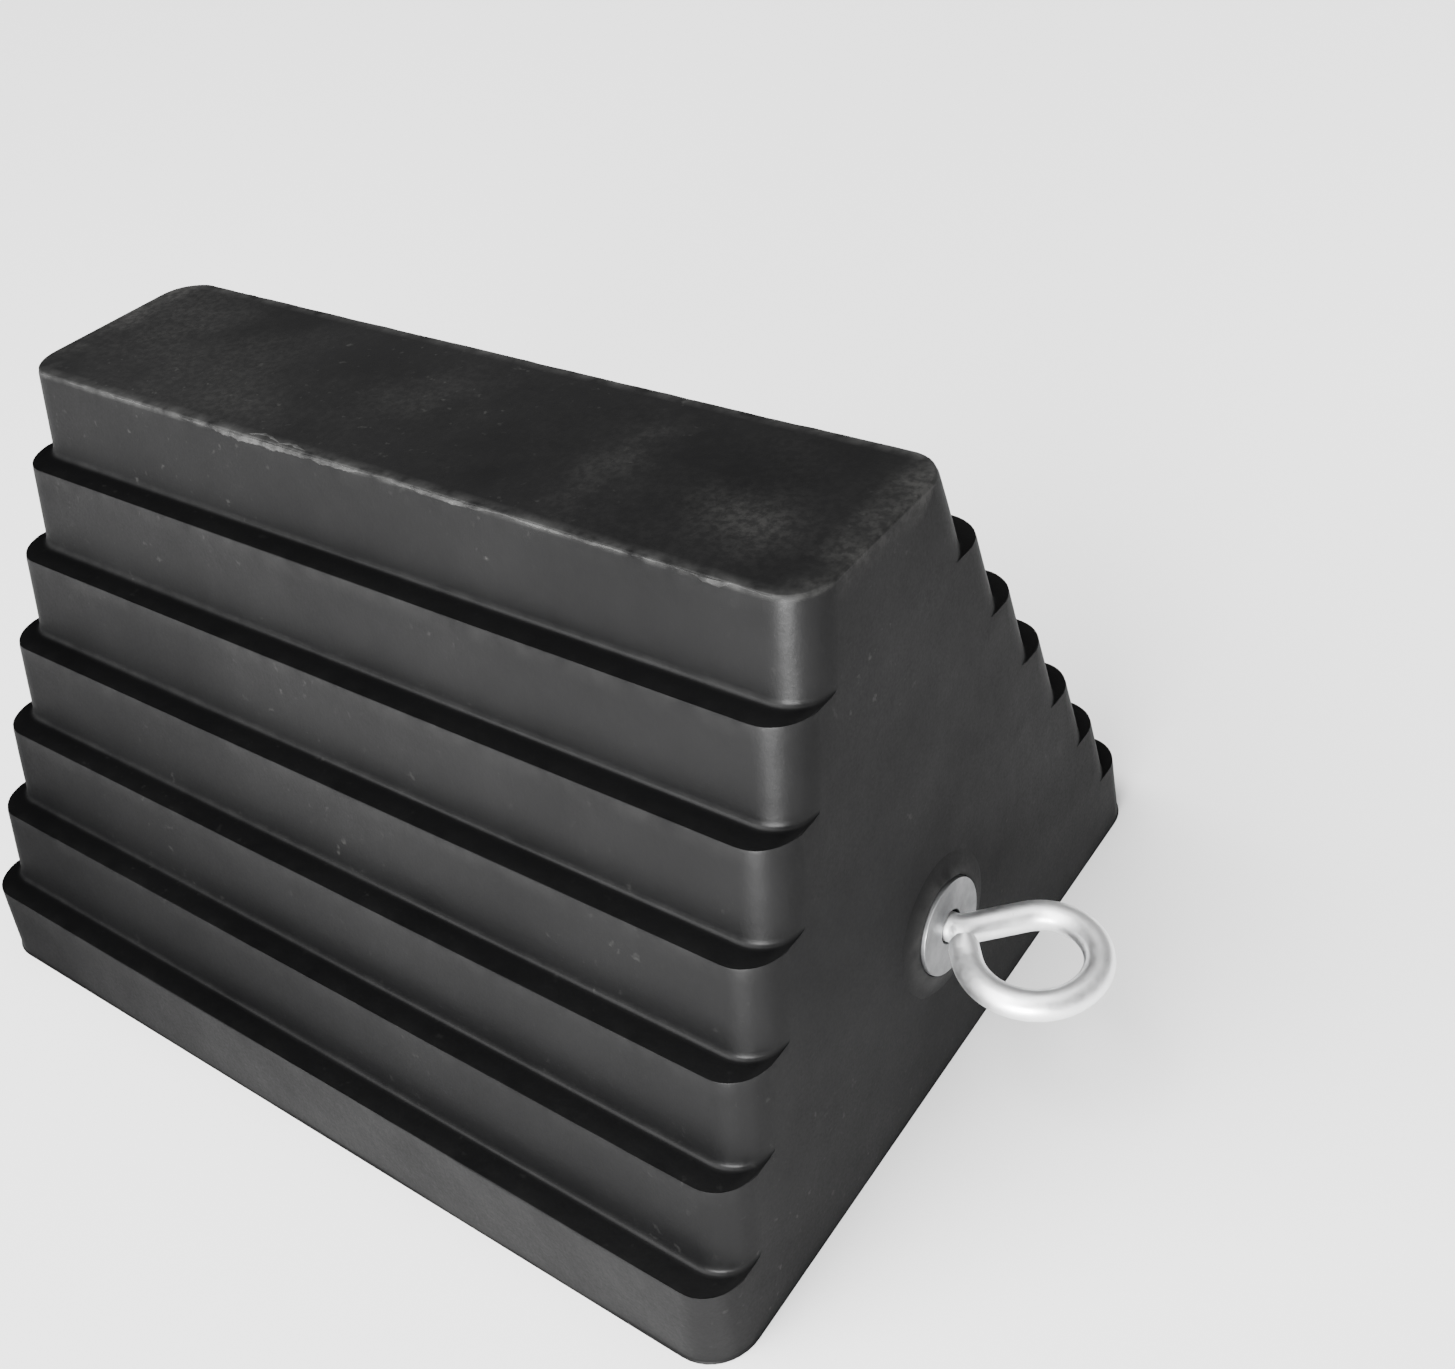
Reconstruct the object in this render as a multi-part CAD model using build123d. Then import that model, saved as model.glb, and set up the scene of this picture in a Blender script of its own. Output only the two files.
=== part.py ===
from build123d import *
import os

# A rubber wheel chock with a pull eye: one moulded block, stepped on both long sides, with a
# bent eye bolt that runs through its length and turns in its bore.
#
# The origin is the middle of the base.  X runs along the block towards the eye, the two stepped
# sides look along -Y and +Y, and Z is up.

# Rubber block
HEIGHT = 150.0
BASE_LENGTH = 260.0
TOP_LENGTH = 241.0
TOP_WIDTH = 55.0
TIERS = 7
TOP_TIER_HEIGHT = 22.0
LEDGE_WIDTH = 6.8
FACE_FLARE = 4.8
FOOT_FLARE = 3.3
CORNER_RADIUS = 10.0
FOOT_CORNER_RADIUS = 12.0
EDGE_ROUND = 0.8

# Bolt hole and the pocket for its nut
BOLT_HEIGHT = 43.0
BORE_DIAMETER = 9.0
POCKET_DIAMETER = 30.0
POCKET_DEPTH = 30.0

# Washers: one under the eye, one on the pocket's floor
WASHER_DIAMETER = 24.0
WASHER_BORE = 8.4
WASHER_THICKNESS = 2.0

# Lock nut with its nylon ring
NUT_ACROSS_FLATS = 13.0
NUT_HEX_HEIGHT = 6.2
NUT_HEIGHT = 8.4
NUT_COLLAR_DIAMETER = 12.0
NUT_CHAMFER = 0.8
NUT_RUNNING_GAP = 0.1
RING_DIAMETER = 10.6
RING_HEIGHT = 1.8
RING_LIP = 0.4
LIP_DIAMETER = 9.4

# Eye bolt: a rod bent to an open eye, with a rolled thread on its far end
ROD_DIAMETER = 7.2
THREAD_DIAMETER = 8.0
THREAD_LENGTH = 40.0
THREAD_CHAMFER = 0.8
THREAD_PAST_NUT = 3.5

# The eye's bends, in the order the rod is bent, with turns in degrees to the left
ROOT_RADIUS = 5.0
ROOT_TURN = 43.5
FAR_LEG = 13.5
FAR_RADIUS = 12.9
FAR_TURN = -130.0
NEAR_RADIUS = 14.9
NEAR_TURN = -142.0
NEAR_LEG = 3.5

# Worked out from the dimensions above
END_DRAFT = (BASE_LENGTH - TOP_LENGTH) / 2 / HEIGHT
LOWER_TIER_HEIGHT = (HEIGHT - TOP_TIER_HEIGHT) / (TIERS - 1)
NUT_ACROSS_CORNERS = NUT_ACROSS_FLATS * 2 / 3**0.5


def end_x(z):
    """Distance of the drafted end faces from the middle, at height z."""
    return TOP_LENGTH / 2 + (HEIGHT - z) * END_DRAFT


AXIS_END_X = end_x(BOLT_HEIGHT)
POCKET_FLOOR_X = -AXIS_END_X + POCKET_DEPTH
NUT_FACE_X = POCKET_FLOOR_X - WASHER_THICKNESS - NUT_RUNNING_GAP
BOLT_TIP_X = NUT_FACE_X - NUT_HEIGHT - THREAD_PAST_NUT
ROOT_X = AXIS_END_X + WASHER_THICKNESS


def on_axis(x, direction):
    """A plane on the bolt's axis at x, whose normal is +X or -X."""
    return Plane(origin=(x, 0, BOLT_HEIGHT), x_dir=(0, 1, 0), z_dir=(direction, 0, 0))


def disc(plane, diameter, thickness):
    return extrude(plane * Circle(diameter / 2), thickness)


def rubber_section(z, half_width, corner_radius):
    outline = RectangleRounded(2 * end_x(z), 2 * half_width, corner_radius)
    return Plane.XY.offset(z) * outline


def stepped_block():
    """Seven flared tiers, each wider than the one above by its flare and a flat ledge."""
    block = None
    z_top = HEIGHT
    half_width = TOP_WIDTH / 2
    for tier in range(TIERS):
        is_foot = tier == TIERS - 1
        z_bottom = LOWER_TIER_HEIGHT * (TIERS - 1 - tier)
        flare = FOOT_FLARE if is_foot else FACE_FLARE
        bottom_radius = FOOT_CORNER_RADIUS if is_foot else CORNER_RADIUS
        upper = rubber_section(z_top, half_width, CORNER_RADIUS)
        lower = rubber_section(z_bottom, half_width + flare, bottom_radius)
        solid = loft([lower, upper], ruled=True)
        block = solid if block is None else block + solid
        z_top = z_bottom
        half_width += flare + LEDGE_WIDTH
    return block


def rubber_body():
    """The block, with its top edge eased, bored end to end and pocketed for the nut."""
    block = stepped_block()
    block = fillet(block.faces().sort_by(Axis.Z)[-1].edges(), EDGE_ROUND)
    bore = disc(on_axis(-BASE_LENGTH, 1), BORE_DIAMETER, 2 * BASE_LENGTH)
    pocket = disc(on_axis(POCKET_FLOOR_X, -1), POCKET_DIAMETER, 2 * POCKET_DEPTH)
    return block - bore - pocket


def washer(seat):
    """A plain washer that lies on the seat plane."""
    return disc(seat, WASHER_DIAMETER, WASHER_THICKNESS) - disc(seat, WASHER_BORE, WASHER_THICKNESS)


def front_washer():
    """It lies on the drafted end face, so it leans with that face."""
    seat = Plane(
        origin=(AXIS_END_X, 0, BOLT_HEIGHT),
        x_dir=(0, 1, 0),
        z_dir=(1, 0, END_DRAFT),
    )
    return washer(seat)


def rear_washer():
    return washer(on_axis(POCKET_FLOOR_X, -1))


def lock_nut():
    """A hexagon nut with a round collar, whose rolled lip holds the nylon ring."""
    face = on_axis(NUT_FACE_X, -1)
    hexagon = extrude(face * RegularPolygon(NUT_ACROSS_FLATS / 2, 6, major_radius=False), NUT_HEX_HEIGHT)
    turned = disc(face, NUT_ACROSS_CORNERS, NUT_HEX_HEIGHT)
    turned = chamfer(turned.edges().filter_by(GeomType.CIRCLE), NUT_CHAMFER / 2, NUT_CHAMFER)
    collar = disc(face.offset(NUT_HEX_HEIGHT), NUT_COLLAR_DIAMETER, NUT_HEIGHT - NUT_HEX_HEIGHT)
    thread = disc(face, THREAD_DIAMETER, NUT_HEIGHT)
    groove = disc(face.offset(NUT_HEIGHT - RING_LIP - RING_HEIGHT), RING_DIAMETER, RING_HEIGHT)
    mouth = disc(face.offset(NUT_HEIGHT - RING_LIP), LIP_DIAMETER, RING_LIP)
    return (hexagon & turned) + collar - thread - groove - mouth


def nylon_ring():
    seat = on_axis(NUT_FACE_X, -1).offset(NUT_HEIGHT - RING_LIP - RING_HEIGHT)
    return disc(seat, RING_DIAMETER, RING_HEIGHT) - disc(seat, THREAD_DIAMETER, RING_HEIGHT)


def eye_path():
    """The rod's centre line: straight shank, root bend, far leg, round eye, near leg."""
    plain_start = BOLT_TIP_X + THREAD_LENGTH
    shank = Line((plain_start, 0), (ROOT_X, 0))
    root = JernArc(shank @ 1, shank % 1, ROOT_RADIUS, ROOT_TURN)
    far_leg = Line(root @ 1, (root @ 1) + (root % 1) * FAR_LEG)
    far_bend = JernArc(far_leg @ 1, far_leg % 1, FAR_RADIUS, FAR_TURN)
    near_bend = JernArc(far_bend @ 1, far_bend % 1, NEAR_RADIUS, NEAR_TURN)
    near_leg = Line(near_bend @ 1, (near_bend @ 1) + (near_bend % 1) * NEAR_LEG)
    route = Wire([*shank.edges(), *root.edges(), *far_leg.edges(),
                  *far_bend.edges(), *near_bend.edges(), *near_leg.edges()])
    return route.moved(Location((0, 0, BOLT_HEIGHT)))


def eye_bolt():
    """One rod: the swept shank and eye, and the thicker rolled thread with a chamfered tip."""
    route = eye_path()
    section = Plane(origin=route @ 0, z_dir=route % 0) * Circle(ROD_DIAMETER / 2)
    rod = sweep(section, route)
    thread = disc(on_axis(BOLT_TIP_X, 1), THREAD_DIAMETER, THREAD_LENGTH)
    tip_edge = thread.edges().filter_by(GeomType.CIRCLE).sort_by(Axis.X)[0]
    return rod + chamfer(tip_edge, THREAD_CHAMFER)


NODES = {
    "rubber_body": rubber_body,
    "front_washer": front_washer,
    "rear_washer": rear_washer,
    "eye_bolt": eye_bolt,
    "lock_nut": lock_nut,
    "nylon_ring": nylon_ring,
}

os.makedirs("parts", exist_ok=True)
for name, build in NODES.items():
    shape = build()
    shape.label = name
    export_step(shape, f"parts/{name}.step")
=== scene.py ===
import math

import bmesh
import bpy
from mathutils import Euler, Matrix, Vector, noise


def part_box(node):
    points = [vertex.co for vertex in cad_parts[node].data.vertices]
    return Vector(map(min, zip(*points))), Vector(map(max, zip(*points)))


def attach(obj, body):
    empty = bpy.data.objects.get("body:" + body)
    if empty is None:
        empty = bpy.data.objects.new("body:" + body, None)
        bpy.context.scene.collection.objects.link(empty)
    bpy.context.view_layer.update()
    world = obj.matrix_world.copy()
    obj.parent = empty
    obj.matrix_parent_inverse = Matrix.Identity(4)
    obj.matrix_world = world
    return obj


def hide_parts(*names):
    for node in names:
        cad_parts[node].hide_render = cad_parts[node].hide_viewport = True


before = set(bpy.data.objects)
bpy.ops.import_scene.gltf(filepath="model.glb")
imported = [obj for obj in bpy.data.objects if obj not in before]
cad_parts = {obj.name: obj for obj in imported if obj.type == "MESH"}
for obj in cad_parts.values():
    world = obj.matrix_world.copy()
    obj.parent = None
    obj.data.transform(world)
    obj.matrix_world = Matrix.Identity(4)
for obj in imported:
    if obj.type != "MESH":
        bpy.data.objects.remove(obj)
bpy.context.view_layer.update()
MM = 0.001


# ---- Rubber block ----
# One solid block of black rubber, cured in a steel mould, with both long sides stepped to bite a
# tyre.  It is bored from end to end for the eye bolt, dusty on top and rubbed along its edges.
# Its ledges and lower tiers carry painted shade, its long sides a painted sheen, and its ledge
# roots a faint painted highlight.

block_low, block_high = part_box("rubber_body")
BLOCK_TOP = block_high.z
TIERS = 7
TOP_TIER_RISE = 22 * MM
TIER_RISE = (BLOCK_TOP - TOP_TIER_RISE) / (TIERS - 1)
TOP_HALF_LENGTH = 120.5 * MM
END_DRAFT = (block_high.x - TOP_HALF_LENGTH) / BLOCK_TOP
TOP_HALF_WIDTH = 27.5 * MM
FACE_FLARE = 4.8 * MM
FOOT_FLARE = 3.3 * MM
LEDGE = 6.8 * MM
CORNER = 10 * MM
FOOT_CORNER = 12 * MM
EDGE_ROUND = 0.4 * MM
TOP_EDGE_ROUND = 0.9 * MM
ROOT_FILLET = 0.7 * MM
ROUND_STEPS = 3
FACE_ROWS = 5
LINE_WIDTH = 0.6 * MM
CORNER_STEPS = 10
COLUMN_PITCH = 2.4 * MM
TOP_PITCH = 4 * MM
END_PITCH = 6 * MM
END_REACH = 95 * MM
FACES_UP = 0.99
FACES_END = 0.9


def half_length(z):
    return TOP_HALF_LENGTH + (BLOCK_TOP - z) * END_DRAFT


def tier_edges():
    """(foot half width, foot z, top half width, top z) of each tier, from the ground up."""
    edges = []
    top_width = TOP_HALF_WIDTH + (TIERS - 1) * (FACE_FLARE + LEDGE)
    for tier in range(TIERS):
        foot_z = tier * TIER_RISE
        top_z = BLOCK_TOP if tier == TIERS - 1 else foot_z + TIER_RISE
        flare = FOOT_FLARE if tier == 0 else FACE_FLARE
        edges.append((top_width + flare, foot_z, top_width, top_z))
        top_width -= FACE_FLARE + LEDGE
    return edges


def block_rings():
    """Every ring of the block from the ground up, as (half width, z, corner radius, end inset)."""
    rings = []
    for tier, (foot_width, foot_z, top_width, top_z) in enumerate(tier_edges()):
        is_foot, is_top = tier == 0, tier == TIERS - 1
        corner = FOOT_CORNER if is_foot else CORNER
        start = EDGE_ROUND if is_foot else ROOT_FILLET
        for step in range(ROUND_STEPS + 1):
            turn = math.pi / 2 * step / ROUND_STEPS
            inward, up = math.cos(turn), 1 - math.sin(turn)
            if is_foot:
                inset = EDGE_ROUND * (1 - math.sin(turn))
                rings.append((foot_width - inset, EDGE_ROUND * (1 - math.cos(turn)), corner - inset, inset))
            else:
                rings.append((foot_width + ROOT_FILLET * (1 - math.sin(turn)),
                              foot_z + ROOT_FILLET * (1 - math.cos(turn)), corner, 0))
        end = TOP_EDGE_ROUND if is_top else EDGE_ROUND
        low, high = foot_z + start, top_z - end
        middle_rows = [low + (high - low) * row / FACE_ROWS for row in range(1, FACE_ROWS)]
        for z in [low + LINE_WIDTH, *middle_rows, high - LINE_WIDTH]:
            share = (z - foot_z) / (top_z - foot_z)
            width = foot_width + (top_width - foot_width) * share
            rings.append((width, z, corner + (CORNER - corner) * share, 0))
        for step in range(ROUND_STEPS + 1):
            turn = math.pi / 2 * step / ROUND_STEPS
            inset = end * (1 - math.cos(turn))
            z = top_z - end * (1 - math.sin(turn))
            rings.append((top_width - inset, z, CORNER - inset if is_top else CORNER,
                          inset if is_top else 0))
        if not is_top:
            next_width = tier_edges()[tier + 1][0] + ROOT_FILLET
            for width in (top_width - 2 * EDGE_ROUND, next_width + 3 * LINE_WIDTH, next_width + LINE_WIDTH):
                rings.append((width, top_z, CORNER, 0))
    return rings


def ring_cores(ring):
    """Half sizes of the rectangle that a ring's corner centres make, and the ring's corner radius."""
    half_width, z, corner, inset = ring
    return half_length(z) - inset - corner, half_width - corner, corner


def fit_ring(verts, old, new, z):
    """Moves a ring's points from one outline to the next, with round corners kept round."""
    (old_x, old_y, old_r), (new_x, new_y, new_r) = old, new
    for vert in verts:
        core_x = max(-old_x, min(old_x, vert.co.x))
        core_y = max(-old_y, min(old_y, vert.co.y))
        vert.co.x = core_x * new_x / old_x + (vert.co.x - core_x) * new_r / old_r
        vert.co.y = core_y * new_y / old_y + (vert.co.y - core_y) * new_r / old_r
        vert.co.z = z


def grow_face(mesh, face):
    """Extrudes a face in place, with no face left inside, and returns the new face."""
    grown = bmesh.ops.extrude_face_region(mesh, geom=[face, *face.edges, *face.verts])["geom"]
    return next(part for part in grown if isinstance(part, bmesh.types.BMFace))


def stepped_block():
    rings = block_rings()
    core_x, core_y, corner = ring_cores(rings[0])
    mesh = bmesh.new()
    bmesh.ops.create_grid(mesh, x_segments=1, y_segments=1, size=1)
    bmesh.ops.scale(mesh, vec=(core_x + corner, core_y + corner, 1), verts=mesh.verts)
    bmesh.ops.bevel(mesh, geom=mesh.verts[:], offset=corner, segments=CORNER_STEPS,
                    affect="VERTICES", profile=0.5, material=-1)
    mesh.faces.ensure_lookup_table()
    top = mesh.faces[0]
    for old, new in zip(rings, rings[1:]):
        top = grow_face(mesh, top)
        fit_ring(top.verts, ring_cores(old), ring_cores(new), new[1])
    bmesh.ops.recalc_face_normals(mesh, faces=mesh.faces)
    on_end = [face for face in mesh.faces
              if all(abs(vert.co.x) > half_length(vert.co.z) - 1e-6 for vert in face.verts)]
    bmesh.ops.dissolve_faces(mesh, faces=on_end)
    return mesh


def cut_across(mesh, axis, places, wanted):
    """Adds straight cuts across the faces that wanted() picks, so that they can be shaped."""
    normal = Vector((0, 0, 0))
    normal[axis] = 1
    for place in places:
        point = Vector((0, 0, 0))
        point[axis] = place
        faces = [face for face in mesh.faces if wanted(face)]
        edges = {edge for face in faces for edge in face.edges}
        verts = {vert for face in faces for vert in face.verts}
        bmesh.ops.bisect_plane(mesh, geom=[*faces, *edges, *verts], plane_co=point,
                               plane_no=normal, dist=1e-7)


def spaced(reach, pitch):
    """Places on both sides of zero, a pitch apart, up to a reach."""
    count = int(reach / pitch)
    return [step * pitch for step in range(-count, count + 1)]


SHARP_TURN = math.radians(38)


def add_object(name, mesh):
    """Makes an object from a bmesh, smooth but for its sharp edges, and frees the bmesh."""
    data = bpy.data.meshes.new(name)
    mesh.to_mesh(data)
    mesh.free()
    data.shade_smooth()
    data.set_sharp_from_angle(angle=SHARP_TURN)
    piece = bpy.data.objects.new(name, data)
    bpy.context.scene.collection.objects.link(piece)
    return piece


BOLT_Z = (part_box("eye_bolt")[0].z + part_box("eye_bolt")[1].z) / 2
POCKET_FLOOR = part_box("rear_washer")[1].x
POCKET_RADIUS = 15 * MM
POCKET_MOUTH_ROUND = 1.2 * MM
BORE_RADIUS = 4.5 * MM
FLOOR_FILLET = 0.5 * MM
CUTTER_PAST = 4 * MM
CUTTER_STEPS = 64
mouth_x = -half_length(BOLT_Z)


def lathe(outline, steps):
    """Turns an outline of (x, radius) points about the bolt's axis into a closed mesh."""
    mesh = bmesh.new()
    verts = [mesh.verts.new((x, 0, BOLT_Z + radius)) for x, radius in outline]
    edges = [mesh.edges.new(pair) for pair in zip(verts, verts[1:])]
    bmesh.ops.spin(mesh, geom=verts + edges, axis=(1, 0, 0), cent=(0, 0, BOLT_Z), dvec=(0, 0, 0),
                   angle=2 * math.pi, steps=steps, use_merge=True, use_duplicate=False)
    bmesh.ops.remove_doubles(mesh, verts=mesh.verts, dist=1e-6)
    bmesh.ops.recalc_face_normals(mesh, faces=mesh.faces)
    return mesh


pocket_outline = [
    (mouth_x - CUTTER_PAST, 0),
    (mouth_x - CUTTER_PAST, POCKET_RADIUS + POCKET_MOUTH_ROUND),
    (mouth_x, POCKET_RADIUS + POCKET_MOUTH_ROUND),
    (mouth_x + 0.3 * POCKET_MOUTH_ROUND, POCKET_RADIUS + 0.3 * POCKET_MOUTH_ROUND),
    (mouth_x + POCKET_MOUTH_ROUND, POCKET_RADIUS),
    (POCKET_FLOOR - FLOOR_FILLET, POCKET_RADIUS),
    (POCKET_FLOOR, POCKET_RADIUS - FLOOR_FILLET),
    (POCKET_FLOOR, BORE_RADIUS),
    (-mouth_x + CUTTER_PAST, BORE_RADIUS),
    (-mouth_x + CUTTER_PAST, 0),
]

block_mesh = stepped_block()
column_reach = TOP_HALF_LENGTH - CORNER
end_rows = [END_PITCH * step for step in range(1, round(BLOCK_TOP / END_PITCH))]
cut_across(block_mesh, 0, spaced(column_reach, COLUMN_PITCH), lambda face: abs(face.normal.x) < FACES_END)
cut_across(block_mesh, 1, spaced(TOP_HALF_WIDTH, TOP_PITCH),
           lambda face: face.normal.z > FACES_UP and face.calc_center_median().z > BLOCK_TOP - MM)
cut_across(block_mesh, 1, spaced(END_REACH, END_PITCH), lambda face: abs(face.normal.x) > FACES_END)
cut_across(block_mesh, 2, end_rows, lambda face: abs(face.normal.x) > FACES_END)
rubber = add_object("rubber_block", block_mesh)

cutter = add_object("pocket_cutter", lathe(pocket_outline, CUTTER_STEPS))
bore_cut = rubber.modifiers.new("pocket", "BOOLEAN")
bore_cut.operation = "DIFFERENCE"
bore_cut.solver = "EXACT"
bore_cut.object = cutter


def bake_modifiers(piece):
    """Replaces a piece's mesh with what its modifiers make of it."""
    evaluated = piece.evaluated_get(bpy.context.evaluated_depsgraph_get())
    baked = bpy.data.meshes.new_from_object(evaluated)
    piece.modifiers.clear()
    piece.data = baked
    baked.shade_smooth()
    baked.set_sharp_from_angle(angle=SHARP_TURN)


bake_modifiers(rubber)
bpy.data.objects.remove(cutter)


def edge_nearness(co):
    """How near a point is to a ledge's root and to an outer edge, each from 0 to 1."""
    root_reach, outer_reach = ROOT_FILLET + LINE_WIDTH, 2.5 * MM
    over = max(0, min(1, (abs(co.x) - half_length(co.z) + CORNER) / CORNER))
    bend = math.sqrt(1 - over * over)
    width = abs(co.y) + CORNER * (1 - bend)
    root, outer = root_reach, outer_reach
    for tier, (foot_width, foot_z, top_width, top_z) in enumerate(tier_edges()):
        if tier > 0:
            root = min(root, math.hypot(width - foot_width, co.z - foot_z))
        outer = min(outer, math.hypot(width - top_width, co.z - top_z))
    return min(1, 2 - 2 * root / root_reach) * bend, (1 - outer / outer_reach) * bend


# Dust that lies on the top face: middle x and y, reach along and across, all in mm, and amount.
DUST_PATCHES = [(-92, 0, 34, 26, 0.45), (-13, 5, 18, 8, 0.55), (56, -12, 8, 14, 0.5), (58, 12, 8, 14, 0.5),
                (88, -7, 10, 8, 0.7), (101, -11, 8, 7, 0.6), (-45, -16, 20, 7, 0.35)]
THIN_DUST = 0.15
END_DUST = 1.4
END_DUST_REACH = 8 * MM
# Waves to the metre and height in mm of the rubber's unevenness, and how far it sinks to stay in size.
WAVES = [(16, 0.22), (55, 0.10)]
EDGE_RIPPLE = (210, 0.16)
SINK = 0.3
# The ledges and the lower tiers are darkened with painted shade, and a painted sheen rises along the sides
# to the eye.
LEDGE_PAINTED_SHADE = 0.76
LOW_PAINTED_SHADE = 0.68
FAR_PAINTED_SHEEN = 0.7
TOP_PAINTED_SHEEN = -0.5
FAR_DULL = 0.8
FAR_DULL_START = 20 * MM
FAR_DULL_REACH = 130 * MM
# The ledge roots are lightened partly as rubbed rubber and partly as a painted highlight.
ROOT_WEAR_AND_HIGHLIGHT = 0.10
TOP_EDGE_WEAR = 0.9
STEP_EDGE_WEAR = 0.2
LOW_START = 124 * MM
LOW_END = 40 * MM


def paint(piece, name, values):
    """Stores one number for each point of a piece, for its material to read."""
    layer = piece.data.attributes.new(name, "FLOAT", "POINT")
    layer.data.foreach_set("value", values)


def weather_block(piece):
    """Gives the cured rubber its slight waves, and marks its dust, its wear with a faint painted highlight
    at the ledge roots, its dull parts, its painted shade and its painted sheen.
    """
    data = piece.data
    normals = [vert.normal.copy() for vert in data.vertices]
    dust, wear_and_highlight, dull, shade, painted_sheen = [], [], [], [], []
    for vert, normal in zip(data.vertices, normals):
        co = vert.co.copy()
        root, outer = edge_nearness(co)
        swell = sum(noise.noise(co * waves) * height for waves, height in WAVES)
        ripple = noise.noise(co * EDGE_RIPPLE[0]) * EDGE_RIPPLE[1] * outer
        inside = (co.x - mouth_x) > 2 * MM and math.hypot(co.y, co.z - BOLT_Z) < POCKET_RADIUS + MM
        if not inside and co.z > 0.2 * MM:
            vert.co += normal * (swell + ripple - SINK) * MM
        on_top = co.z > BLOCK_TOP - 1.2 * MM
        near_end = max(0, 1 - (half_length(co.z) - abs(co.x)) / END_DUST_REACH)
        patches = sum(amount * math.exp(-((co.x / MM - x) / wide) ** 2 - ((co.y / MM - y) / deep) ** 2)
                      for x, y, wide, deep, amount in DUST_PATCHES)
        dust.append((THIN_DUST + patches + END_DUST * near_end) * on_top)
        on_end = min(1, max(0, abs(co.x) - half_length(co.z) + 3 * MM) / (2 * MM))
        far_half = min(1, max(0, FAR_DULL_START - co.x) / FAR_DULL_REACH)
        dull.append(max(on_end, FAR_DULL * far_half))
        # Wear on the outer edges; at the ledge roots a faint painted highlight, partly rubbed rubber.
        wear_and_highlight.append(max(ROOT_WEAR_AND_HIGHLIGHT * root, (TOP_EDGE_WEAR if on_top else STEP_EDGE_WEAR) * outer))
        # Painted shade: the ledges, and the long sides from LOW_START down to LOW_END, are darkened.
        low = min(1, max(0, (LOW_START - co.z) / (LOW_START - LOW_END)))
        on_ledge = 0 if on_top else max(0, normal.z) ** 2
        shade.append(max(LEDGE_PAINTED_SHADE * on_ledge, LOW_PAINTED_SHADE * low * normal.y ** 2))
        # Painted sheen: the specular level rises along the long sides towards the eye, falls towards the far
        # end, and is lowered on the top.
        along = co.x / TOP_HALF_LENGTH * (FAR_PAINTED_SHEEN if co.x < 0 else 1)
        painted_sheen.append(TOP_PAINTED_SHEEN if on_top else along * (1 - normal.x ** 4))
    for name, values in (("dust", dust), ("wear_and_highlight", wear_and_highlight), ("dull", dull), ("shade", shade), ("painted_sheen", painted_sheen)):
        paint(piece, name, values)


weather_block(rubber)
crisp = rubber.modifiers.new("crisp_edges", "WEIGHTED_NORMAL")
crisp.keep_sharp = True


def shader_tree(name):
    """A new material, its node tree and its shader."""
    material = bpy.data.materials.new(name)
    material.use_nodes = True
    tree = material.node_tree
    return material, tree, tree.nodes["Principled BSDF"]


def add_node(tree, kind, settings=None, **inputs):
    """Adds a shader node.  An input may be a value or another node's output socket."""
    node = tree.nodes.new("ShaderNode" + kind)
    for key, value in (settings or {}).items():
        setattr(node, key, value)
    for key, value in inputs.items():
        socket = node.inputs[int(key[1:])] if key[0] == "i" and key[1:].isdigit() else node.inputs[key]
        if isinstance(value, bpy.types.NodeSocket):
            tree.links.new(value, socket)
        else:
            socket.default_value = value
    return node


def object_noise(tree, scale, detail=4, roughness=0.55):
    """Noise that sits on the piece, at so many waves to the metre, from 0 to 1."""
    place = add_node(tree, "TexCoord").outputs["Object"]
    waves = add_node(tree, "TexNoise", Vector=place, Scale=scale, Detail=detail, Roughness=roughness)
    return waves.outputs["Fac"]


def spread(tree, value, low, high, out_low=0.0, out_high=1.0):
    """Maps a value's range from low..high to out_low..out_high, clamped."""
    node = add_node(tree, "MapRange", i0=value, i1=low, i2=high, i3=out_low, i4=out_high)
    return node.outputs[0]


def arithmetic(tree, operation, a, b):
    return add_node(tree, "Math", {"operation": operation}, i0=a, i1=b).outputs[0]


def blend_colour(tree, share, a, b):
    node = add_node(tree, "Mix", {"data_type": "RGBA"}, i0=share, i6=a, i7=b)
    return node.outputs[2]


def bumps(tree, heights):
    """Chains bump nodes, each from a (height, distance in metres, strength)."""
    normal = None
    for height, distance, strength in heights:
        node = add_node(tree, "Bump", Height=height, Distance=distance, Strength=strength)
        if normal:
            tree.links.new(normal, node.inputs["Normal"])
        normal = node.outputs[0]
    return normal


CLEAN_BLACK = (0.0030, 0.0030, 0.0031, 1)
MOTTLED_BLACK = (0.0052, 0.0052, 0.0053, 1)
# The deeper black of the painted shade.
PAINTED_SHADE_BLACK = (0.0010, 0.0010, 0.0011, 1)
DUST_GREY = (0.022, 0.0217, 0.021, 1)
SPECK_GREY = (0.05, 0.05, 0.048, 1)
# The rubbed grey, which also carries the ledge roots' faint painted highlight.
RUBBED_AND_HIGHLIGHT_GREY = (0.050, 0.050, 0.049, 1)
# Specular levels: plain, under the painted shade, the painted sheen's swing, and the least.
PLAIN_SPECULAR = 0.105
PAINTED_SHADE_SPECULAR = 0.015
PAINTED_SHEEN_SPECULAR = 0.036
LEAST_SPECULAR = 0.01
DULL_ROUGHNESS = 0.28


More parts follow.
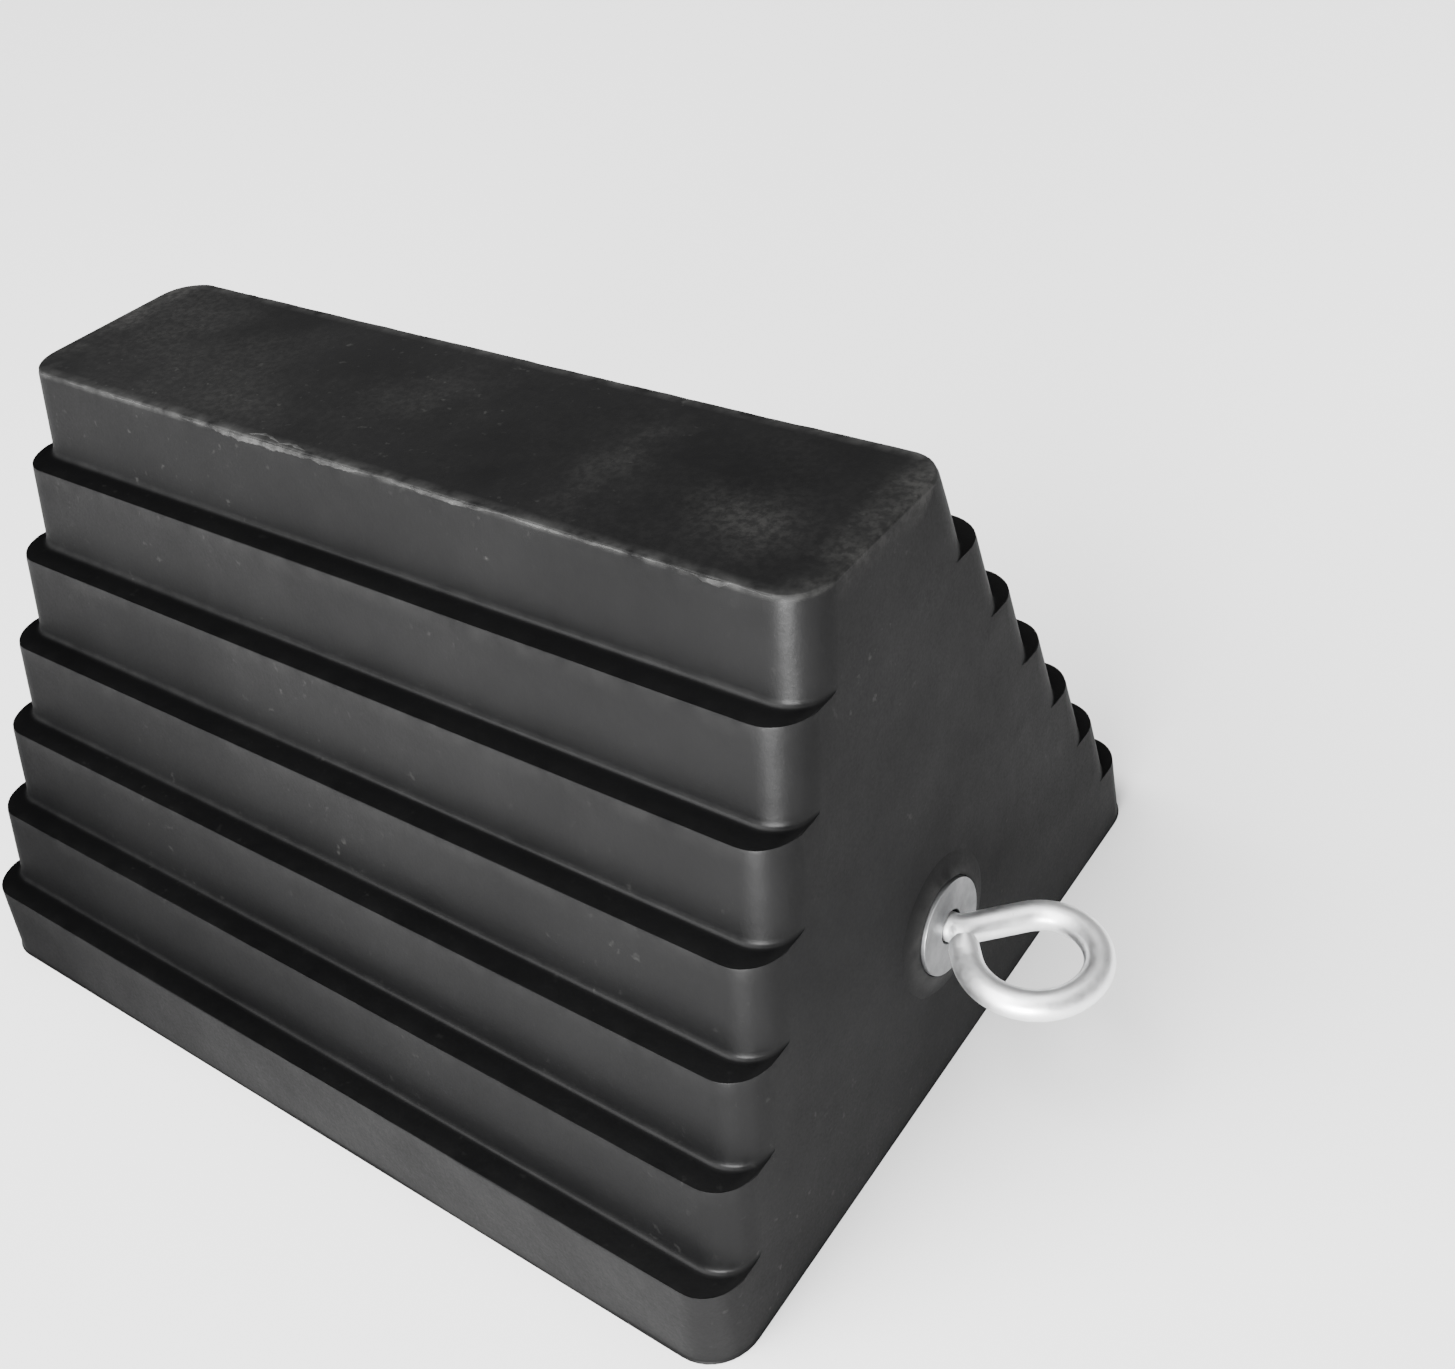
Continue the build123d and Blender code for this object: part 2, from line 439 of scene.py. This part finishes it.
def moulded_rubber():
    """Black rubber with a mottle, fine grain and specks, and the marks left by weather_block(), among them
    painted shade, a painted sheen and a faint painted highlight at the ledge roots.
    """
    material, tree, shader = shader_tree("moulded_rubber")
    mottle = object_noise(tree, 22, 6)
    smear = object_noise(tree, 26, 6, roughness=0.62)
    grain = object_noise(tree, 1400, 3)
    specks = spread(tree, object_noise(tree, 420, 2), 0.66, 0.76)
    dust = add_node(tree, "Attribute", {"attribute_name": "dust"}).outputs["Fac"]
    wear_and_highlight = add_node(tree, "Attribute", {"attribute_name": "wear_and_highlight"}).outputs["Fac"]
    black = blend_colour(tree, spread(tree, mottle, 0.35, 0.65), CLEAN_BLACK, MOTTLED_BLACK)
    powder = spread(tree, object_noise(tree, 520, 3, roughness=0.7), 0.40, 0.62, 0.35, 1.0)
    dusty = arithmetic(tree, "MULTIPLY", arithmetic(tree, "MULTIPLY", dust, powder),
                       spread(tree, smear, 0.38, 0.62))
    black = blend_colour(tree, dusty, black, DUST_GREY)
    speckled = arithmetic(tree, "MULTIPLY", specks, spread(tree, mottle, 0.45, 0.7, 0.0, 0.5))
    black = blend_colour(tree, speckled, black, SPECK_GREY)
    # Rubbed grey on worn edges, flash and the pressed ring, and a faint painted highlight at the ledge
    # roots.
    rubbed_and_highlight = arithmetic(tree, "MULTIPLY", wear_and_highlight, spread(tree, object_noise(tree, 160, 4), 0.35, 0.7))
    black = blend_colour(tree, rubbed_and_highlight, black, RUBBED_AND_HIGHLIGHT_GREY)
    # Painted shade: the marked ledges and lower sides blend towards a deeper black.
    shade = add_node(tree, "Attribute", {"attribute_name": "shade"}).outputs["Fac"]
    black = blend_colour(tree, shade, black, PAINTED_SHADE_BLACK)
    tree.links.new(black, shader.inputs["Base Color"])
    # Painted sheen: the specular level rises towards the eye along the sides and drops on the top, and the
    # painted shade lowers it.
    painted_sheen = add_node(tree, "Attribute", {"attribute_name": "painted_sheen"}).outputs["Fac"]
    mirror = arithmetic(tree, "ADD", spread(tree, shade, 0.0, 1.0, PLAIN_SPECULAR, PAINTED_SHADE_SPECULAR),
                        arithmetic(tree, "MULTIPLY", painted_sheen, PAINTED_SHEEN_SPECULAR))
    mirror = arithmetic(tree, "MAXIMUM", mirror, LEAST_SPECULAR)
    tree.links.new(mirror, shader.inputs["Specular IOR Level"])
    gloss = arithmetic(tree, "ADD", spread(tree, smear, 0.3, 0.7, 0.34, 0.46),
                       spread(tree, grain, 0.3, 0.7, -0.03, 0.05))
    dull = add_node(tree, "Attribute", {"attribute_name": "dull"}).outputs["Fac"]
    gloss = arithmetic(tree, "ADD", gloss, arithmetic(tree, "MULTIPLY", dull, DULL_ROUGHNESS))
    tree.links.new(gloss, shader.inputs["Roughness"])
    normal = bumps(tree, [(mottle, 0.0012, 0.35), (object_noise(tree, 260, 4), 0.0002, 0.30),
                          (grain, 0.00005, 0.4)])
    tree.links.new(normal, shader.inputs["Normal"])
    return material


rubber.data.materials.clear()
rubber.data.materials.append(moulded_rubber())
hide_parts("rubber_body")
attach(rubber, "block")


# ---- Torn flash ----
# The mould is open at the top, where spare rubber squeezes out and is torn off by hand.  What is
# left is a thin lumpy bead on the top edge, with loose strands where it tore badly.

FLASH_STEP = 0.7 * MM
FLASH_SIDES = 10
FLASH_SCUFF = 1.1
FLASH_END_GAP = 8 * MM
FLASH_END_FADE = 6 * MM
FLASH_LEAST = 0.12
# Where flash is left: middle and reach along the edge in mm, and how thick it is.
NEAR_TEARS = [(-30, 19, 1.0), (-5, 7, 0.9), (17, 4, 0.35), (30, 10, 0.7), (64, 12, 0.3), (99, 3, 0.9)]
FAR_TEARS = [(-96, 9, 1.1), (-30, 14, 0.2)]
STRAND_SIDES = 8
STRAND_STEP = 0.6 * MM
STRAND_THICK = 0.34


def tear_at(x, tears):
    """How much flash is left at a place along the edge: 0 is none, 1 is the thickest."""
    return max(height * math.exp(-((x / MM - middle) / reach) ** 4) for middle, reach, height in tears)


def wave(x, rate, row, layer=0):
    """Noise along the edge, from -1 to 1: so many waves to the metre, on a row and layer of its own."""
    return noise.noise(Vector((x * rate, row, layer)))


def ring_across(mesh, x, sides):
    """Starts a tube along X: a capped ring 1 mm in radius, which is shaped later."""
    place = Matrix.Translation((x, 0, 0)) @ Matrix.Rotation(math.pi / 2, 4, "Y")
    bmesh.ops.create_circle(mesh, cap_ends=True, segments=sides, radius=1 * MM, matrix=place)
    mesh.faces.ensure_lookup_table()
    return mesh.faces[0]


def edge_bead(side, tears, thin, sunk):
    """A closed bead that follows a long top edge, swelling and thinning as the rubber tore."""
    mesh = bmesh.new()
    length = 2 * (TOP_HALF_LENGTH - FLASH_END_GAP)
    count = int(length / FLASH_STEP)
    ring = ring_across(mesh, -length / 2, FLASH_SIDES)
    for _ in range(count):
        ring = grow_face(mesh, ring)
        bmesh.ops.translate(mesh, verts=ring.verts, vec=(length / count, 0, 0))
    for vert in mesh.verts:
        x = vert.co.x
        left = tear_at(x, tears)
        ragged = wave(x, 900, side * 3) * 0.5 + wave(x, 300, side * 5)
        size = thin + left * (1.15 + 0.5 * ragged) + 0.15 * ragged
        end_fade = min(1, (length / 2 - abs(x)) / FLASH_END_FADE)
        size = max(FLASH_LEAST, size * end_fade)
        wander = 0.35 * wave(x, 120, side * 9) + 0.25 * left
        lump = 1 + 0.35 * noise.noise(vert.co * 1400)
        across = vert.co.y * side * (0.42 * size * lump) + (wander - 0.15 * size) * MM
        up = vert.co.z * (0.55 * size * lump) - (0.55 * size - 0.10) * MM
        vert.co.y = side * (TOP_HALF_WIDTH - sunk + across)
        vert.co.z = min(BLOCK_TOP, BLOCK_TOP - 0.5 * MM + up)
    bmesh.ops.recalc_face_normals(mesh, faces=mesh.faces)
    return mesh


def loose_strand(start, end, lift, side):
    """A thin torn strand that leaves the edge by its lift in mm and comes back, flush with the top."""
    mesh = bmesh.new()
    ring = ring_across(mesh, start, STRAND_SIDES)
    count = round((end - start) / STRAND_STEP)
    for _ in range(count):
        ring = grow_face(mesh, ring)
        bmesh.ops.translate(mesh, verts=ring.verts, vec=((end - start) / count, 0, 0))
    for vert in mesh.verts:
        share = (vert.co.x - start) / (end - start)
        arch = math.sin(math.pi * share)
        thick = STRAND_THICK * (0.35 + arch) * (1 + 0.5 * wave(vert.co.x, 700, 0, 4))
        inward = arch * lift + 0.4 * wave(vert.co.x, 260, 6)
        vert.co.y = side * (TOP_HALF_WIDTH - (0.4 + inward) * MM + vert.co.y * thick)
        vert.co.z = min(BLOCK_TOP, BLOCK_TOP - 0.42 * MM + vert.co.z * thick)
    bmesh.ops.recalc_face_normals(mesh, faces=mesh.faces)
    return mesh


beads = [
    ("flash_near_edge", edge_bead(-1, NEAR_TEARS, 0.34, 0.35 * MM)),
    ("flash_far_edge", edge_bead(1, FAR_TEARS, 0.20, 0.7 * MM)),
    ("flash_strand_1", loose_strand(-36 * MM, -21 * MM, 1.9, -1)),
    ("flash_strand_2", loose_strand(-24 * MM, -13 * MM, 1.5, -1)),
]
for name, mesh in beads:
    bead = add_object(name, mesh)
    paint(bead, "wear_and_highlight", [FLASH_SCUFF] * len(bead.data.vertices))
    bead.data.materials.append(rubber.data.materials[0])
    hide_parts("rubber_body")
    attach(bead, "block")


# ---- Washers ----
# Two large plain washers, stamped from zinc plated strip.  The punch rolls one rim over a little.
# The front one lies on the drafted end face, and the rear one on the floor of the nut pocket.

WASHER_RADIUS = 12 * MM
WASHER_BORE = 4.2 * MM
WASHER_THICK = 2 * MM
RIM_ROUND = 0.35 * MM
WASHER_STEPS = 72


def washer_outline(face_x, direction):
    """The (x, radius) outline of a washer that starts at face_x and grows in a direction."""
    out_x = face_x + direction * WASHER_THICK
    near_round, far_round = face_x + direction * RIM_ROUND * 0.4, out_x - direction * RIM_ROUND
    return [
        (face_x, WASHER_BORE + RIM_ROUND * 0.4),
        (face_x, WASHER_RADIUS - RIM_ROUND * 0.4),
        (near_round, WASHER_RADIUS),
        (far_round, WASHER_RADIUS),
        (out_x - direction * RIM_ROUND * 0.3, WASHER_RADIUS - RIM_ROUND * 0.3),
        (out_x, WASHER_RADIUS - RIM_ROUND),
        (out_x, WASHER_BORE + RIM_ROUND),
        (out_x - direction * RIM_ROUND * 0.3, WASHER_BORE + RIM_ROUND * 0.3),
        (far_round, WASHER_BORE),
        (near_round, WASHER_BORE),
        (face_x, WASHER_BORE + RIM_ROUND * 0.4),
    ]


PIT_GREY = (0.35, 0.35, 0.35, 1)


def zinc(name, colour, dull_colour, roughness, streak):
    """Zinc plate: pale metal with cloudy dull patches, fine scratches and small pits."""
    material, tree, shader = shader_tree(name)
    cloud = object_noise(tree, 130, 5)
    drawn = object_noise(tree, 700, 4)
    pits = spread(tree, object_noise(tree, 900, 2), 0.68, 0.80)
    shade = blend_colour(tree, spread(tree, cloud, 0.35, 0.65), colour, dull_colour)
    shade = blend_colour(tree, arithmetic(tree, "MULTIPLY", pits, 0.30), shade, PIT_GREY)
    tree.links.new(shade, shader.inputs["Base Color"])
    shader.inputs["Metallic"].default_value = 1.0
    gloss = arithmetic(tree, "ADD", spread(tree, cloud, 0.3, 0.7, roughness - 0.05, roughness + 0.10),
                       spread(tree, drawn, 0.3, 0.7, -0.04, 0.05))
    tree.links.new(gloss, shader.inputs["Roughness"])
    normal = bumps(tree, [(cloud, 0.0003, 0.10), (drawn, 0.00006, streak), (pits, 0.00005, 0.2)])
    tree.links.new(normal, shader.inputs["Normal"])
    return material


dull_zinc = zinc("dull_zinc", (0.22, 0.222, 0.225, 1), (0.15, 0.152, 0.155, 1), 0.44, 0.3)


def add_washer(name, face_x, direction, lean):
    mesh = lathe(washer_outline(face_x, direction), WASHER_STEPS)
    pivot = Vector((face_x, 0, BOLT_Z))
    bmesh.ops.rotate(mesh, verts=mesh.verts, cent=pivot, matrix=Matrix.Rotation(lean, 3, "Y"))
    piece = add_object(name, mesh)
    piece.data.materials.append(dull_zinc)
    piece.modifiers.new("crisp_edges", "WEIGHTED_NORMAL").keep_sharp = True
    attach(piece, "block")
    return piece


DRAFT_LEAN = -math.atan(END_DRAFT)
front = add_washer("front_plain_washer", half_length(BOLT_Z), 1, DRAFT_LEAN)
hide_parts("front_washer")
rear = add_washer("rear_plain_washer", POCKET_FLOOR, -1, 0)
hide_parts("rear_washer")


# ---- Pressed rubber ----
# The front washer is pulled hard against the block, so the rubber swells in a low ring round it.
# The ring hides the washer's rim and is rubbed a little lighter than the face.

# The ring's section: rise above the end face and radius, in mm.
SWELL_OUTLINE = [(-0.6, 11.9), (0.9, 12.05), (1.25, 12.3), (1.35, 12.7), (1.10, 13.6), (0.60, 15.0),
                 (0.15, 16.6), (-0.15, 17.8), (-0.6, 19.2), (-0.6, 11.9)]
SWELL_REACH = 17 * MM
SWELL_STEPS = 96
SWELL_RUB = 0.5


def pressed_rubber():
    """A closed ring round the washer, leaning with the end face and uneven like squeezed rubber."""
    seat = half_length(BOLT_Z)
    mesh = lathe([(seat + rise * MM, radius * MM) for rise, radius in SWELL_OUTLINE], SWELL_STEPS)
    for vert in mesh.verts:
        rise = vert.co.x - seat
        if rise > 0:
            vert.co.x = seat + rise * (0.92 + 0.16 * noise.noise(vert.co * 110))
    pivot = Vector((seat, 0, BOLT_Z))
    bmesh.ops.rotate(mesh, verts=mesh.verts, cent=pivot, matrix=Matrix.Rotation(DRAFT_LEAN, 3, "Y"))
    return mesh


swell = add_object("pressed_rubber", pressed_rubber())
rub = []
for vert in swell.data.vertices:
    out = math.hypot(vert.co.y, vert.co.z - BOLT_Z)
    rub.append(SWELL_RUB * max(0, SWELL_REACH - out) / (SWELL_REACH - WASHER_RADIUS))
paint(swell, "wear_and_highlight", rub)
paint(swell, "dull", [1.0] * len(rub))
swell.data.materials.append(rubber.data.materials[0])
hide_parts("rubber_body")
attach(swell, "block")


# ---- Eye bolt ----
# One steel rod, bent cold to an open eye whose sheared end stops against the shank, and rolled
# with a coarse thread at its far end.  Bright zinc plate covers the burr at the cut.

ROD_RADIUS = 3.56 * MM
THREAD_RADIUS = 4.0 * MM
THREAD_ROOT = 3.35 * MM
THREAD_PITCH = 1.25 * MM
THREAD_LENGTH = 40 * MM
ROD_SIDES = 28
THREAD_STEPS = 28
THREAD_CHAMFER = 0.8 * MM
RUNOUT_PITCHES = 2
BOLT_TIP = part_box("eye_bolt")[0].x
EYE_ROOT = half_length(BOLT_Z) + WASHER_THICK
INSIDE_THREAD = 0.5 * MM
BEND_STEP = 4
LEG_STEP = 2 * MM
# The eye as it is bent: radius or length, turn to the left in degrees, and rise across the eye.
EYE_BENDS = [("bend", 5.0 * MM, 43.5, 0), ("leg", 13.5 * MM, 0, 0), ("bend", 12.9 * MM, -130.0, 0),
             ("bend", 14.9 * MM, -142.0, 1.6 * MM), ("leg", 5.2 * MM, 0, 1.6 * MM)]


def carry_ring(mesh, ring, heading, kind, size, turn, rise=0):
    """Carries the rod's end ring on along a straight leg or round a bend, rising as it goes."""
    if kind == "leg":
        steps = max(1, round(size / LEG_STEP))
        for _ in range(steps):
            ring = grow_face(mesh, ring)
            bmesh.ops.translate(mesh, verts=ring.verts,
                                vec=heading * (size / steps) + Vector((0, 0, rise / steps)))
        return ring, heading
    left = Vector((-heading.y, heading.x, 0))
    middle = ring.calc_center_median() + left * math.copysign(size, turn)
    steps = round(abs(turn) / BEND_STEP)
    step_turn = Matrix.Rotation(math.radians(turn / steps), 3, "Z")
    for _ in range(steps):
        ring = grow_face(mesh, ring)
        bmesh.ops.rotate(mesh, verts=ring.verts, cent=middle, matrix=step_turn)
        bmesh.ops.translate(mesh, verts=ring.verts, vec=(0, 0, rise / steps))
        heading = step_turn @ heading
    return ring, heading


CUT_INSETS = [0.7 * MM, 0.9 * MM, 0.9 * MM]


def bent_rod():
    """The plain rod from the thread to the end of the eye, where the shears left a ragged face."""
    mesh = bmesh.new()
    start = BOLT_TIP + THREAD_LENGTH - INSIDE_THREAD
    place = Matrix.Translation((start, 0, BOLT_Z)) @ Matrix.Rotation(math.pi / 2, 4, "Y")
    bmesh.ops.create_circle(mesh, cap_ends=True, segments=ROD_SIDES, radius=ROD_RADIUS, matrix=place)
    mesh.faces.ensure_lookup_table()
    ring, heading = carry_ring(mesh, mesh.faces[0], Vector((1, 0, 0)), "leg", EYE_ROOT - start, 0)
    for kind, size, turn, rise in EYE_BENDS:
        ring, heading = carry_ring(mesh, ring, heading, kind, size, turn, rise)
    cut_centre = ring.calc_center_median()
    for thickness in CUT_INSETS:
        bmesh.ops.inset_region(mesh, faces=[ring], thickness=thickness)
    for vert in mesh.verts:
        from_cut = (vert.co - cut_centre).dot(heading)
        if (vert.co - cut_centre).length < 1.3 * ROD_RADIUS and from_cut > -0.1 * MM:
            ragged = noise.noise(vert.co * 620) * 0.9 + noise.noise(vert.co * 1900) * 0.6
            spoke = vert.co - cut_centre
            vert.co += heading * (ragged * 0.7 - 0.5) * MM - spoke * (0.12 + 0.10 * ragged)
    bmesh.ops.recalc_face_normals(mesh, faces=mesh.faces)
    return mesh


def rolled_thread():
    """A thread spun with an advance of one pitch a turn, cut square and chamfered at its tip."""
    mesh = bmesh.new()
    tip, runout = BOLT_TIP, BOLT_TIP + THREAD_LENGTH
    turns = round(THREAD_LENGTH / THREAD_PITCH) + 3
    outline = [(0, THREAD_ROOT), (0.14, THREAD_ROOT), (0.46, THREAD_RADIUS), (0.58, THREAD_RADIUS),
               (0.90, THREAD_ROOT), (1, THREAD_ROOT)]
    verts = [mesh.verts.new((tip + (share - 1.5) * THREAD_PITCH, 0, BOLT_Z + radius))
             for share, radius in outline]
    edges = [mesh.edges.new(pair) for pair in zip(verts, verts[1:])]
    advance = Vector((THREAD_PITCH / THREAD_STEPS, 0, 0))
    bmesh.ops.spin(mesh, geom=verts + edges, axis=(1, 0, 0), cent=(0, 0, BOLT_Z), dvec=advance,
                   angle=2 * math.pi * turns, steps=THREAD_STEPS * turns, use_merge=False,
                   use_duplicate=False)
    bmesh.ops.remove_doubles(mesh, verts=mesh.verts, dist=1e-6)
    for place, facing in ((tip, -1), (runout, 1)):
        cut = bmesh.ops.bisect_plane(mesh, geom=[*mesh.verts, *mesh.edges, *mesh.faces], dist=1e-7,
                                     plane_co=(place, 0, 0), plane_no=(facing, 0, 0), clear_outer=True)
        rim = [part for part in cut["geom_cut"] if isinstance(part, bmesh.types.BMEdge)]
        bmesh.ops.contextual_create(mesh, geom=rim)
    for vert in mesh.verts:
        spoke = Vector((0, vert.co.y, vert.co.z - BOLT_Z))
        from_tip, from_runout = vert.co.x - tip, runout - vert.co.x
        fade = min(1, max(0, from_runout / (RUNOUT_PITCHES * THREAD_PITCH)))
        radius = ROD_RADIUS + (spoke.length - ROD_RADIUS) * fade
        radius = min(radius, THREAD_RADIUS - THREAD_CHAMFER + from_tip)
        if spoke.length > MM:
            vert.co.y = spoke.y * radius / spoke.length
            vert.co.z = BOLT_Z + spoke.z * radius / spoke.length
    bmesh.ops.recalc_face_normals(mesh, faces=mesh.faces)
    return mesh


bright_zinc = zinc("bright_zinc", (0.95, 0.955, 0.96, 1), (0.84, 0.845, 0.85, 1), 0.40, 0.20)
rod = add_object("bent_eye_bolt", bent_rod())
thread = add_object("rolled_thread", rolled_thread())
for piece in (rod, thread):
    piece.data.materials.append(bright_zinc)
    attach(piece, "eye")
    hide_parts("eye_bolt")


# ---- Lock nut ----
# A hexagon nut, forged and zinc plated, with its corners turned off and a thin round collar.
# It screws onto the rod with a little play, so the eye bolt still turns in the block.

nut_low, nut_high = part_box("lock_nut")
NUT_FACE = nut_high.x
NUT_REACH = NUT_FACE - nut_low.x
NUT_FLATS = 13 * MM
NUT_HEX = 6.2 * MM
NUT_CORNERS = NUT_FLATS / math.cos(math.pi / 6)
COLLAR_RADIUS = 6 * MM
NUT_BORE = 4.02 * MM
RING_RADIUS = 5.3 * MM
LIP_RADIUS = 4.7 * MM
RING_RISE = 1.8 * MM
LIP_RISE = 0.4 * MM
NUT_CHAMFER = 0.45 * MM
NUT_CORNER_ROUND = 0.25 * MM
NUT_STEPS = 96
COLLAR_STEPS = 72
COLLAR_SUNK = 0.3 * MM
RING_GAP = 0.02 * MM


def hexagon_bar():
    """A hexagon prism on the bolt's axis, as long as the nut's hexagon part."""
    mesh = bmesh.new()
    place = Matrix.Translation((NUT_FACE, 0, BOLT_Z)) @ Matrix.Rotation(-math.pi / 2, 4, "Y")
    bmesh.ops.create_circle(mesh, cap_ends=True, segments=6, radius=NUT_CORNERS / 2,
                            matrix=place @ Matrix.Rotation(math.pi / 6, 4, "Z"))
    mesh.faces.ensure_lookup_table()
    end = grow_face(mesh, mesh.faces[0])
    bmesh.ops.translate(mesh, verts=end.verts, vec=(-NUT_HEX, 0, 0))
    bmesh.ops.recalc_face_normals(mesh, faces=mesh.faces)
    corners = [edge for edge in mesh.edges if abs((edge.verts[0].co - edge.verts[1].co).x) > MM]
    bmesh.ops.bevel(mesh, geom=corners, offset=NUT_CORNER_ROUND, segments=2, affect="EDGES", profile=0.5,
                    material=-1)
    return mesh


def back(depth):
    """The place so far behind the nut's bearing face."""
    return NUT_FACE - depth


turned_nut = [
    (back(0), NUT_BORE + 0.5 * MM),
    (back(0), NUT_FLATS / 2 - 0.2 * MM),
    (back(NUT_CHAMFER), NUT_CORNERS / 2 + 0.05 * MM),
    (back(NUT_HEX - NUT_CHAMFER), NUT_CORNERS / 2 + 0.05 * MM),
    (back(NUT_HEX), NUT_FLATS / 2 - 0.2 * MM),
    (back(NUT_HEX), NUT_BORE),
    (back(0.5 * MM), NUT_BORE),
    (back(0), NUT_BORE + 0.5 * MM),
]
collar_outline = [
    (back(NUT_HEX - COLLAR_SUNK), RING_RADIUS + RING_GAP),
    (back(NUT_HEX - COLLAR_SUNK), COLLAR_RADIUS),
    (back(NUT_REACH - 0.9 * MM), COLLAR_RADIUS),
    (back(NUT_REACH - 0.45 * MM), COLLAR_RADIUS - 0.12 * MM),
    (back(NUT_REACH - 0.12 * MM), COLLAR_RADIUS - 0.45 * MM),
    (back(NUT_REACH), COLLAR_RADIUS - 0.85 * MM),
    (back(NUT_REACH - 0.05 * MM), LIP_RADIUS + 0.1 * MM),
    (back(NUT_REACH - 0.2 * MM), LIP_RADIUS),
    (back(NUT_REACH - LIP_RISE), LIP_RADIUS + 0.1 * MM),
    (back(NUT_REACH - LIP_RISE), RING_RADIUS + RING_GAP),
    (back(NUT_HEX - COLLAR_SUNK), RING_RADIUS + RING_GAP),
]
nut = add_object("lock_nut_hexagon", hexagon_bar())
turned = add_object("nut_turning", lathe(turned_nut, NUT_STEPS))
turn_down = nut.modifiers.new("turned", "BOOLEAN")
turn_down.operation = "INTERSECT"
turn_down.solver = "EXACT"
turn_down.object = turned
bake_modifiers(nut)
bpy.data.objects.remove(turned)
collar = add_object("lock_nut_collar", lathe(collar_outline, COLLAR_STEPS))
for piece in (nut, collar):
    piece.data.materials.clear()
    piece.data.materials.append(dull_zinc)
    piece.modifiers.new("crisp_edges", "WEIGHTED_NORMAL").keep_sharp = True
    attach(piece, "eye")
    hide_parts("lock_nut")


# ---- Nylon ring ----
# A moulded nylon ring held under the nut's rolled lip.  On a real bolt the thread presses its own
# groove in the bore, and that grip stops the nut from working loose.

ring_start = back(NUT_REACH - LIP_RISE - RING_RISE)
ring_outline = [
    (ring_start, THREAD_RADIUS + 0.15 * MM),
    (ring_start, RING_RADIUS),
    (back(NUT_REACH - LIP_RISE), RING_RADIUS),
    (back(NUT_REACH - LIP_RISE), THREAD_RADIUS + 0.35 * MM),
    (back(NUT_REACH - LIP_RISE - 0.2 * MM), THREAD_RADIUS + RING_GAP),
    (ring_start - 0.2 * MM, THREAD_RADIUS + RING_GAP),
    (ring_start, THREAD_RADIUS + 0.15 * MM),
]


def nylon():
    """Milky off-white nylon, slightly cloudy and faintly rough."""
    material, tree, shader = shader_tree("nylon")
    cloud = object_noise(tree, 300, 4)
    milky = blend_colour(tree, cloud, (0.70, 0.68, 0.62, 1), (0.58, 0.56, 0.50, 1))
    tree.links.new(milky, shader.inputs["Base Color"])
    tree.links.new(spread(tree, cloud, 0.3, 0.7, 0.35, 0.5), shader.inputs["Roughness"])
    tree.links.new(bumps(tree, [(object_noise(tree, 900, 3), 0.00006, 0.3)]), shader.inputs["Normal"])
    return material


ring = add_object("nylon_locking_ring", lathe(ring_outline, COLLAR_STEPS))
ring.data.materials.append(nylon())
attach(ring, "eye")
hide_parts("nylon_ring")


# ---- Studio ----
# A pale floor under a wide soft key light from the left of the near side, with a weak one overhead.
# A low panel draws the bright line down the rounded corners, and a dim surround fills the rest.

floor_mesh = bmesh.new()
bmesh.ops.create_grid(floor_mesh, x_segments=1, y_segments=1, size=4)
floor = add_object("floor", floor_mesh)
material, tree, shader = shader_tree("pale_floor")
shader.inputs["Base Color"].default_value = (0.9, 0.9, 0.9, 1)
shader.inputs["Roughness"].default_value = 1.0
shader.inputs["Specular IOR Level"].default_value = 0.0
floor.data.materials.append(material)

world = bpy.data.worlds.new("surround")
world.use_nodes = True
world.node_tree.nodes["Background"].inputs[0].default_value = (1, 1, 1, 1)
world.node_tree.nodes["Background"].inputs[1].default_value = 0.36
bpy.context.scene.world = world


def towards(azimuth, elevation, distance):
    """A place so far from the block's foot, with azimuth 0 in front of the long side (-Y)."""
    turn, rise = math.radians(azimuth), math.radians(elevation)
    flat = distance * math.cos(rise)
    return Vector((flat * math.sin(turn), -flat * math.cos(turn), distance * math.sin(rise)))


def add_light(name, kind, place, energy, aim=(0, 0, 0.06)):
    data = bpy.data.lights.new(name, kind)
    data.energy = energy
    light = bpy.data.objects.new(name, data)
    light.location = place
    light.rotation_euler = (Vector(aim) - place).to_track_quat("-Z", "Y").to_euler()
    bpy.context.scene.collection.objects.link(light)
    return data


key = add_light("key", "SUN", towards(-30, 48, 2), 9.5)
key.angle = math.radians(60)
overhead = add_light("overhead", "AREA", Vector((0.1, 0.05, 1.2)), 9)
overhead.size = 1.0
strip = add_light("corner_strip", "AREA", towards(21, 9, 1.3), 62)
strip.shape = "RECTANGLE"
strip.size, strip.size_y = 0.6, 0.4

camera_data = bpy.data.cameras.new("camera")
camera_data.lens = 38.644
camera_data.shift_x = -0.04074
camera_data.shift_y = 0.01189
camera_data.clip_start = 0.01
camera = bpy.data.objects.new("camera", camera_data)
camera.location = (0.25917, -0.20769, 0.31392)
camera.rotation_euler = Euler([math.radians(turn) for turn in (50.580, 6.349, 33.907)])
bpy.context.scene.collection.objects.link(camera)
bpy.context.scene.camera = camera
